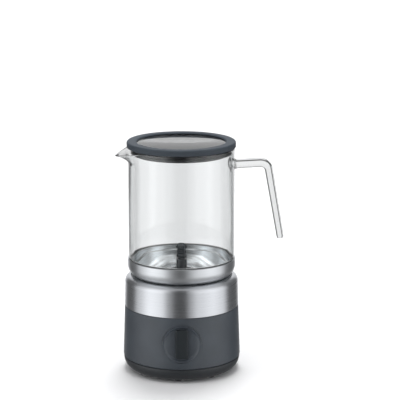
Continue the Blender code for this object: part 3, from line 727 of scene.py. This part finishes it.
def glass_wall(steps=288):
    """Wall of the jug with its pulled spout and fire-polished rim."""
    top, inner = GLASS_TOP - GLASS_T / 2, GLASS_R - GLASS_T
    plain = [GLASS_LOW + 0.5 + (top - SPOUT_START - GLASS_LOW - 0.5) * k / 8 for k in range(9)]
    pulled = [top - SPOUT_START * (1 - k / 14) for k in range(1, 15)]
    heights = plain + pulled
    rim = arc((GLASS_R - GLASS_T / 2, top), GLASS_T / 2, 15, 165, 8)
    foot = arc((GLASS_R - GLASS_THIN / 2, GLASS_LOW + 0.5), GLASS_THIN / 2, 200, 340, 5, 0.5)
    def inner_radius(height):
        thin_up_to, change = 25, 60
        share = min(1.0, max(0.0, (height - GLASS_LOW - thin_up_to) / change))
        return inner + (GLASS_T - GLASS_THIN) * (1 - share * share * (3 - 2 * share))
    rows = [(GLASS_R, h) for h in heights] + rim + [(inner_radius(h), h) for h in reversed(heights)] + foot
    bm = bmesh.new()
    rings = []
    for radius, height in rows:
        pull = max(0.0, min(1.0, (height - top + SPOUT_START) / SPOUT_START)) ** 1.7
        ring = []
        for i in range(steps):
            turn = 2 * pi * i / steps
            reach, drop = spout_shape(min(turn, 2 * pi - turn))
            a, r = turn + radians(180 + JUG_TURN), radius + reach * pull
            ring.append(bm.verts.new((r * cos(a), r * sin(a), height - SPOUT_DROP * drop * pull)))
        rings.append(ring)
    for a, b in zip(rings, rings[1:] + rings[:1]):
        bridge(bm, a, b)
    return bm


def handle_rod():
    """Rod of the handle, flared where it is fused to the wall, bent down and drawn thinner to its end."""
    bar_h, leg_top, leg_end = GLASS_TOP - 21.1, (97.7, GLASS_TOP - 39.0), (109.6, GLASS_TOP - 104.8)
    bend = 9.5
    lean = (leg_end[0] - leg_top[0]) / (leg_top[1] - leg_end[1])
    corner = leg_top[0] - (bar_h - leg_top[1]) * lean
    turn = acos(lean / hypot(1, lean))
    centre = (corner - bend * sin(turn / 2) / cos(turn / 2), bar_h - bend)
    flare = ((0, 8.4), (0.9, 7.6), (1.6, 6.9), (2.4, 6.2), (3.4, 5.7), (5, 5.3), (7.5, 5.05), (11, 5.0),
             (18, 5.0), (25, 5.0))
    path = [(GLASS_R - 1.2 + d, bar_h, r) for d, r in flare]
    steps = 16
    for i in range(steps + 1):
        a = pi / 2 - turn * i / steps
        path.append((centre[0] + bend * cos(a), centre[1] + bend * sin(a), 5.0 - 0.7 * i / steps))
    start, end = Vector(path[-1][:2]), Vector(leg_end)
    thinning = ((0.15, 4.25), (0.4, 4.1), (0.7, 3.95), (0.95, 3.8), (0.985, 3.72), (0.996, 3.3), (1.0, 2.4))
    for share, radius in thinning:
        point = start.lerp(end, share)
        path.append((point.x, point.y, radius))
    bm = tube_mesh([(Vector((x, 0, z)), r) for x, z, r in path], 32)
    turn_mesh(bm, JUG_TURN)
    return bm


def make_glass():
    jug = mesh_object("jug_glass_fine", glass_wall(), smooth_angle=60)
    rod = mesh_object("rod", handle_rod(), smooth_angle=60)
    jug = combined(jug, "UNION", rod, smooth_angle=70)
    piece(jug, "jug_glass", FINISH["clear_glass"], "jug_handle")


# ---------------------------------------------------------------- whisk

def make_coil_ring():
    """A wire wound into a coil spring that closes on itself as a ring, with a dark ring inside it as painted
    shade.
    """
    turns, per_turn, wire, sides = 38, 24, 0.55, 7
    outer_r, shade_core_r = 2.9, 1.85
    ring_r, coil_r = extent("whisk_coil")[0] - outer_r, outer_r - wire
    bm = bmesh.new()
    rings, total = [], turns * per_turn
    for i in range(total):
        a, b = 2 * pi * i / total, 2 * pi * i / per_turn
        def point(a, b):
            r = ring_r + coil_r * cos(b)
            return Vector((r * cos(a), r * sin(a), coil_r * sin(b)))
        step = 0.001
        along = (point(a + step / turns, b + step) - point(a, b)).normalized()
        out = Vector((cos(a) * cos(b), sin(a) * cos(b), sin(b)))
        side = along.cross(out).normalized()
        out = side.cross(along)
        here = point(a, b)
        around = [2 * pi * k / sides for k in range(sides)]
        rings.append([bm.verts.new(here + wire * (cos(t) * out + sin(t) * side)) for t in around])
    for a, b in zip(rings, rings[1:] + rings[:1]):
        bridge(bm, a, b)
    coil = mesh_object("whisk_coil_fine", bm, (0, 0, COIL_Z), 60)
    piece(coil, "whisk_coil", COIL_STEEL)
    # painted shade: a dark ring inside the turns stands for the shade within the hollow coil
    shade_core = turned_mesh([(ring_r + r, z) for r, z in arc((0, 0), shade_core_r, 0, 340, 17)], 96)
    shade_core = mesh_object("whisk_coil_shade_core", shade_core, (0, 0, COIL_Z))
    shade_core.data.materials.append(FINISH["grip_plastic"])
    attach(shade_core, BODY_OF["whisk_coil"])


def make_hub():
    z, wall, web = COIL_Z, 12.3, -1.2
    outline = [(4.5, z - 2.4), (HUB_R - 0.3, z - 2.4), (HUB_R, z - 2.1), (HUB_R, z + 2.3)]
    outline += [(HUB_R - 0.4, z + 2.6), (wall + 0.3, z + 2.6), (wall, z + 2.3), (wall, z + web)]
    outline += [(6.6, z + web), (5.7, z + web + 0.9)]
    outline += [(5.5, z + 10.2), (5.2, z + 10.7), (0, z + 10.7), (0, z + 5.6), (4.5, z + 5.6)]
    turned_piece("whisk_hub", outline, HUB_PLASTIC, 96)
    for i in (1, 2):
        node = f"whisk_magnet_{i}"
        radius, low, high = extent(node)
        at = middle(node)
        turned_piece(node, softened(block(0, radius, low, high), 0.3), FINISH["magnet"], FEW, (at.x, at.y))
    _, low, high = extent("whisk_bush")
    turned_piece("whisk_bush", softened(block(3.1, 4.1, low, high), 0.2), FINISH["inner_plastic"], FEW)


def make_stem():
    """Flat stem: a notch under a square ledge, then a grip with finger ridges on its two wide faces."""
    _, low, top = extent("whisk_stem")
    groove, top_round, thin = 0.9, 2.5, STEM_T - 0.9
    levels = [(STEM_W - 0.3, STEM_T - 3.8, low), (STEM_W - 0.3, STEM_T - 3.8, low + 2.1)]
    levels += [(STEM_W - 0.2, STEM_T + 0.3, low + 2.1), (STEM_W, STEM_T + 0.8, low + 2.4)]
    levels += [(STEM_W, STEM_T + 0.8, low + 2.8), (STEM_W - 0.2, thin, low + 4.2)]
    ridges, first = 4, low + 4.6
    pitch = (top - 2.2 - first) / ridges
    for k in range(ridges):
        z = first + pitch * k
        levels += [(STEM_W - 0.1, thin - 2 * groove, z), (STEM_W - 0.1, thin - 2 * groove, z + 0.3 * pitch)]
        levels += [(STEM_W - 0.1, thin - 0.2, z + 0.45 * pitch), (STEM_W - 0.1, thin, z + 0.75 * pitch)]
        levels += [(STEM_W - 0.1, thin - 0.3, z + 0.92 * pitch)]
    for i in range(1, 7):
        a = pi / 2 * i / 6
        narrower = 2 * top_round * (1 - cos(a))
        levels.append((STEM_W - 0.1 - narrower, thin - 0.3 - 0.35 * narrower, top - 2.2 * (1 - sin(a))))
    bm = stacked_mesh([(rectangle(w, t, 0.5, 3), z) for w, t, z in levels])
    turn_mesh(bm, STEM_TURN)
    piece(mesh_object("whisk_stem_fine", bm, smooth_angle=30), "whisk_stem", STEM_PLASTIC)


# ---------------------------------------------------------------- lid

def make_lid():
    z, seat, edge_r, window_r = LID_LOW, 49.7, 1.7, 46.6
    underside = extent("lid_glass")[2] + 0.3
    outline = [(seat, z), (LID_R - 0.6, z)] + arc((LID_R - 0.6, z + 0.6), 0.6, -90, 0, 4)
    outline += arc((LID_R - edge_r, LID_TOP - edge_r), edge_r, 0, 90, 10)
    outline += arc((window_r + 1.4, LID_TOP - 0.6), 0.6, 90, 170, 5)
    outline += [(window_r, underside + 0.3), (window_r, underside), (seat, underside)]
    turned_piece("lid_ring", outline, LID_PLASTIC, STEPS * 2)
    radius, low, high = extent("lid_glass")
    turned_piece("lid_glass", softened(block(0, radius, low, high), 0.3), WINDOW_GLASS)
    low, groove = COLLAR_LOW, (COLLAR_LOW + 1.7, COLLAR_LOW + 3.7)
    inner, groove_r, seal_r = 43.5, 47.3, 47.6
    collar = [(inner, low), (COLLAR_R - 0.4, low), (COLLAR_R, low + 0.4), (COLLAR_R, groove[0])]
    collar += [(groove_r, groove[0]), (groove_r, groove[1]), (COLLAR_R, groove[1])]
    collar += [(COLLAR_R, COLLAR_TOP), (inner, COLLAR_TOP)]
    turned_piece("lid_collar", softened(collar, 0.2), FINISH["cover_plastic"])
    seal = [(seal_r, groove[0] + 0.3), (50.4, groove[0] + 0.3), (SEAL_R - 0.5, SEAL_LOW)]
    seal += [(SEAL_R, SEAL_LOW + 0.6), (SEAL_R - 0.2, SEAL_LOW + 1.1), (50.6, SEAL_TOP), (seal_r, SEAL_TOP)]
    turned_piece("lid_seal", softened(seal, 0.3, 3), FINISH["seal_silicone"])


# ---------------------------------------------------------------- stage, light and camera

# Azimuths are degrees from the front (-Y), positive towards +X; levels are brightness
GLASS_LIGHT = ((-180, 0.86), (-166, 0.84), (-162, 0.10), (-150, 0.10), (-146, 0.88), (-126, 0.88),
               (-121, 0.10), (-103, 0.10), (-98, 0.86), (-84, 0.90), (-66, 1.75), (-42, 1.45), (-25, 0.55),
               (-11, 0.14), (8, 0.14), (17, 0.62), (28, 1.00), (37, 0.86), (53, 0.86), (66, 1.60),
               (90, 1.00), (112, 0.85), (119, 0.10), (146, 0.10), (151, 0.84), (180, 0.86))
GLASS_BANDS = ((-0.64, -0.42), (0.52, 0.66))      # dark between these sines of the elevation
SIDE_LIGHT = ((-180, 1.00), (-162, 0.90), (-144, 0.14), (-116, 0.14), (-96, 0.95), (-66, 1.70),
              (-42, 1.50), (-25, 0.50), (-11, 0.08), (8, 0.08), (17, 0.60), (34, 1.20), (66, 1.50),
              (90, 1.20), (112, 0.14), (146, 0.14), (164, 0.90), (180, 1.00))
LIGHT_PEAK = 2.0                                  # no level is higher than this
ABOVE, BELOW = 0.60, 0.30                         # levels overhead and underneath
FLOOR_R, BACKDROP_R, SURROUNDINGS_R = 9.0, 8.9, 8.8        # metres
BACKDROP_LEVEL = 1.02
# Soft lamps far away: direction the light comes from, its spread in degrees, and its strength
SOFT_LAMPS = (((0.05, 0.30, 1.0), 22, 2.5), ((-0.1, -0.15, 1.0), 50, 1.00))


def far_sphere(name, radius, strength):
    """A glowing sphere round the scene. Its strength is a number, or a function that makes its nodes."""
    bm = bmesh.new()
    bmesh.ops.create_uvsphere(bm, u_segments=64, v_segments=32, radius=radius)
    mesh = bpy.data.meshes.new(name)
    bm.to_mesh(mesh)
    bm.free()
    sphere = bpy.data.objects.new(name, mesh)
    n = Nodes(name)
    n.set(Roughness=1.0, Base_Color=(0, 0, 0, 1), Emission_Color=(1, 1, 1, 1))
    n.put(n.shader.inputs["Emission Strength"], strength(n) if callable(strength) else strength)
    mesh.materials.append(n.material)
    for ray in ("camera", "transmission", "glossy", "diffuse", "shadow", "volume_scatter"):
        setattr(sphere, "visible_" + ray, False)
    return sphere


def around_ramp(n, azimuth, levels):
    """Brightness by direction: azimuth in radians, levels as (degrees, brightness) pairs."""
    ramp = n.add("ShaderNodeValToRGB")
    ramp.color_ramp.interpolation = "EASE"
    elements = ramp.color_ramp.elements
    while len(elements) > 1:
        elements.remove(elements[-1])
    elements[0].position = 0.0
    elements[0].color = (levels[0][1] / LIGHT_PEAK,) * 3 + (1,)
    for turn, level in levels[1:]:
        element = elements.new(turn / 360 + 0.5)
        element.color = (level / LIGHT_PEAK,) * 3 + (1,)
    n.link(n.math("ADD", n.math("DIVIDE", azimuth, 2 * pi), 0.5), ramp.inputs[0])
    return n.math("MULTIPLY", ramp.outputs["Color"], LIGHT_PEAK)


def glass_surroundings(n):
    """What is seen through and inside the glass: the studio with extra dark screens that give it edges."""
    parts = n.add("ShaderNodeSeparateXYZ")
    n.link(n.object_point(), parts.inputs[0])
    x, y, z = parts.outputs
    level, dark = around_ramp(n, n.azimuth(x, y), GLASS_LIGHT), 0.12
    for low, high in GLASS_BANDS:
        away = n.math("ABSOLUTE", n.math("SUBTRACT", z, SURROUNDINGS_R * (low + high) / 2))
        half, soft = SURROUNDINGS_R * (high - low) / 2, SURROUNDINGS_R * 0.03
        level = n.math("MULTIPLY", level, n.spread(away, dark, 1.0, half - soft, half + soft))
    return level


def make_stage():
    """A pale floor and, far behind it all round, a white backdrop that only eyes and glass see."""
    bm = bmesh.new()
    bmesh.ops.create_circle(bm, cap_ends=True, segments=96, radius=FLOOR_R)
    mesh = bpy.data.meshes.new("floor")
    bm.to_mesh(mesh)
    bm.free()
    floor = bpy.data.objects.new("floor", mesh)
    n = Nodes("floor_paper")
    cloud = n.spread(n.noise(n.object_point(), 3.0, 2.0), 0.0, 1.0)
    n.link(n.blend(cloud, (0.69, 0.69, 0.695), (0.71, 0.71, 0.715)), n.shader.inputs["Base Color"])
    n.set(Roughness=0.9)
    mesh.materials.append(n.material)
    floor.visible_glossy = floor.visible_transmission = False
    backdrop = far_sphere("backdrop", BACKDROP_R, BACKDROP_LEVEL)
    backdrop.visible_camera = True
    surroundings = far_sphere("glass_surroundings", SURROUNDINGS_R, glass_surroundings)
    surroundings.visible_transmission = True
    for obj in (floor, backdrop, surroundings):
        bpy.context.scene.collection.objects.link(obj)


def make_light():
    """A studio as a world, with tall softboxes left and right, and two wide soft lamps above."""
    world = bpy.data.worlds.new("studio")
    bpy.context.scene.world = world
    world.use_nodes = True
    n = Tree(world.node_tree)
    n.tree.nodes.clear()
    parts = n.add("ShaderNodeSeparateXYZ")
    n.link(n.add("ShaderNodeTexCoord").outputs["Generated"], parts.inputs[0])
    x, y, z = parts.outputs
    lean, ceiling, ground = 0.5, (0.42, 0.80), (-0.60, -0.40)      # the ceiling light starts higher in front
    sides = around_ramp(n, n.azimuth(x, y), SIDE_LIGHT)
    height = n.math("ADD", z, n.math("MINIMUM", n.math("MULTIPLY", y, lean), 0.0))
    upper = n.spread(height, sides, ABOVE, *ceiling, kind="SMOOTHSTEP")
    background = n.add("ShaderNodeBackground")
    n.link(n.spread(z, BELOW, upper, *ground, kind="SMOOTHSTEP"), background.inputs["Strength"])
    background.inputs["Color"].default_value = (0.985, 0.99, 1.0, 1)
    n.link(background.outputs[0], n.add("ShaderNodeOutputWorld").inputs["Surface"])

    for direction, spread, strength in SOFT_LAMPS:
        light = bpy.data.lights.new("soft_lamp", "SUN")
        light.angle, light.energy = radians(spread), strength
        lamp = bpy.data.objects.new("soft_lamp", light)
        lamp.rotation_euler = (-Vector(direction)).to_track_quat("-Z", "Y").to_euler()
        lamp.visible_glossy = lamp.visible_transmission = False
        bpy.context.scene.collection.objects.link(lamp)


def make_camera():
    """The main view: a long lens a little above the object, the object left of the middle."""
    elevation, distance, focal = 12.7, 1738.7, 148.5
    aim = Vector((AXIS_X + 19.6, 0, 183.3)) * MM
    e = radians(elevation)
    camera = bpy.data.cameras.new("camera")
    camera.lens, camera.sensor_width = focal, 36.0
    camera.clip_end = 60.0
    obj = bpy.data.objects.new("camera", camera)
    bpy.context.scene.collection.objects.link(obj)
    obj.location = Vector((0, -cos(e), sin(e))) * distance * MM + Vector((AXIS_X * MM, 0, aim.z))
    obj.rotation_euler = (aim - obj.location).to_track_quat("-Z", "Y").to_euler()
    bpy.context.scene.camera = obj


def main():
    finish_cad_nodes()
    make_camera()
    make_light()
    make_stage()
    for make in (make_bottom_cover, make_feet, make_base_shell, make_steel_band, make_well, make_drive_cover,
                 make_sensor, make_dial, make_gland, make_pan, make_fill_marks, make_glass, make_coil_ring,
                 make_hub, make_stem, make_lid):
        make()
    bpy.context.scene.view_settings.view_transform = "Standard"


main()
